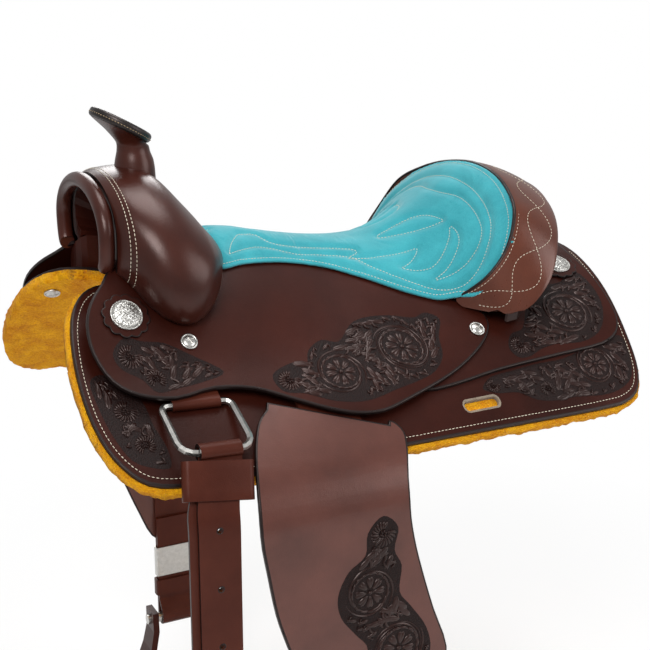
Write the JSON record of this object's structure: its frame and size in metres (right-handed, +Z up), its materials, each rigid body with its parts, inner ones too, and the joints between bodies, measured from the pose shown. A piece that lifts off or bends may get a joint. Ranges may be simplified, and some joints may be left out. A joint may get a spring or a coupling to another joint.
{
  "type": "saddle",
  "caption": "Western pleasure saddle: horned tree, quilted suede seat, tooled leather jockeys, skirts and fenders, fleece lining, D rings, latigo strap and bell stirrups.",
  "frame": {"origin": "On the centre plane, on the ridge line of the skirts' form under the middle of the seat, where the horse's spine carries the saddle", "axes": "+Z up, +X to the rear (cantle), -X to the front (horn), -Y to the near (left) side, which carries the latigo"},
  "size_m": [0.6988, 0.5978, 0.9391],
  "materials": {
    "leather": "dark brown tooled saddle leather, waxed",
    "fender": "reddish brown tooled leather, waxed",
    "strap": "latigo leather, satin, burnished edges",
    "roll": "reddish brown leather, glossy",
    "black_leather": "black leather, satin",
    "suede": "turquoise suede over foam, quilted",
    "fleece": "golden wool fleece",
    "wood": "rawhide covered wood, matt",
    "tree_shell": "moulded ground seat, matt",
    "tree_metal": "cast horn, painted",
    "nickel": "nickel plated steel"
  },
  "bodies": {
    "saddle": {"cantle_back": "leather", "cantle_board": "wood", "cantle_roll": "roll", "fleece_left": "fleece", "fleece_right": "fleece", "front_concho_left": "nickel", "front_concho_right": "nickel", "front_rosette_left": "leather", "front_rosette_right": "leather", "ground_seat": "tree_shell", "gullet_lining": "leather", "gullet_roll": "leather", "horn_cap": "black_leather", "horn_core": "tree_metal", "horn_wrap": "leather", "jockey_screw_front_left": "nickel", "jockey_screw_front_right": "nickel", "jockey_screw_rear_left": "nickel", "jockey_screw_rear_right": "nickel", "lining_screw_left": "nickel", "lining_screw_right": "nickel", "rear_concho_left": "nickel", "rear_concho_right": "nickel", "rear_jockey_left": "leather", "rear_jockey_right": "leather", "rear_rosette_left": "leather", "rear_rosette_right": "leather", "rigging_strap_left": "strap", "rigging_strap_right": "strap", "seat_jockey_left": "leather", "seat_jockey_right": "leather", "seat_pad": "suede", "skirt_left": "leather", "skirt_right": "leather", "swell_cover": "leather", "tree_bar_left": "wood", "tree_bar_right": "wood", "tree_fork": "wood"},
    "strap_left": {"stirrup_leather_top_left": "strap"},
    "fender_left": {"fender_left": "fender", "stirrup_leather_left": "strap", "stirrup_buckle_left": "nickel", "hobble_strap_left": "strap", "stirrup_bolt_left": "nickel"},
    "stirrup_left": {"stirrup_left": "leather"},
    "ring_left": {"rigging_ring_left": "nickel"},
    "strap_right": {"stirrup_leather_top_right": "strap"},
    "fender_right": {"fender_right": "fender", "stirrup_leather_right": "strap", "stirrup_buckle_right": "nickel", "hobble_strap_right": "strap", "stirrup_bolt_right": "nickel"},
    "stirrup_right": {"stirrup_right": "leather"},
    "ring_right": {"rigging_ring_right": "nickel"},
    "latigo": {"latigo": "strap", "latigo_wrap": "strap"}
  },
  "joints": [
    {"name": "fender_swing_left", "type": "hinge", "parent": "saddle", "child": "strap_left", "pos_m": [-0.07747, -0.12915, -0.03726], "axis": [0.0141, -0.5326, 0.8462], "range_deg": [0, 5]},
    {"name": "fender_lift_left", "type": "hinge", "parent": "strap_left", "child": "fender_left", "pos_m": [-0.09, -0.2136, -0.08862], "axis": [-0.9215, 0.3059, 0.2393], "range_deg": [0, 18]},
    {"name": "stirrup_tilt_left", "type": "hinge", "parent": "fender_left", "child": "stirrup_left", "pos_m": [-0.0775, -0.27395, -0.56], "axis": [1, 0, 0], "range_deg": [-30, 30]},
    {"name": "ring_swing_left", "type": "hinge", "parent": "saddle", "child": "ring_left", "pos_m": [-0.2188, -0.18473, -0.06746], "axis": [-0.9988, 0, 0.0489], "range_deg": [0, 15]},
    {"name": "fender_swing_right", "type": "hinge", "parent": "saddle", "child": "strap_right", "pos_m": [-0.07747, 0.12915, -0.03726], "axis": [-0.0141, -0.5326, -0.8462], "range_deg": [0, 5]},
    {"name": "fender_lift_right", "type": "hinge", "parent": "strap_right", "child": "fender_right", "pos_m": [-0.09, 0.2136, -0.08862], "axis": [0.9215, 0.3059, -0.2393], "range_deg": [0, 18]},
    {"name": "stirrup_tilt_right", "type": "hinge", "parent": "fender_right", "child": "stirrup_right", "pos_m": [-0.0775, 0.27395, -0.56], "axis": [1, 0, 0], "range_deg": [-30, 30]},
    {"name": "ring_swing_right", "type": "hinge", "parent": "saddle", "child": "ring_right", "pos_m": [-0.2188, 0.18473, -0.06746], "axis": [0.9988, 0, -0.0489], "range_deg": [0, 15]},
    {"name": "latigo_swing", "type": "hinge", "parent": "ring_left", "child": "latigo", "pos_m": [-0.219, -0.24818, -0.09705], "axis": [-0.9988, 0, 0.0489], "range_deg": [0, 45]}
  ]
}
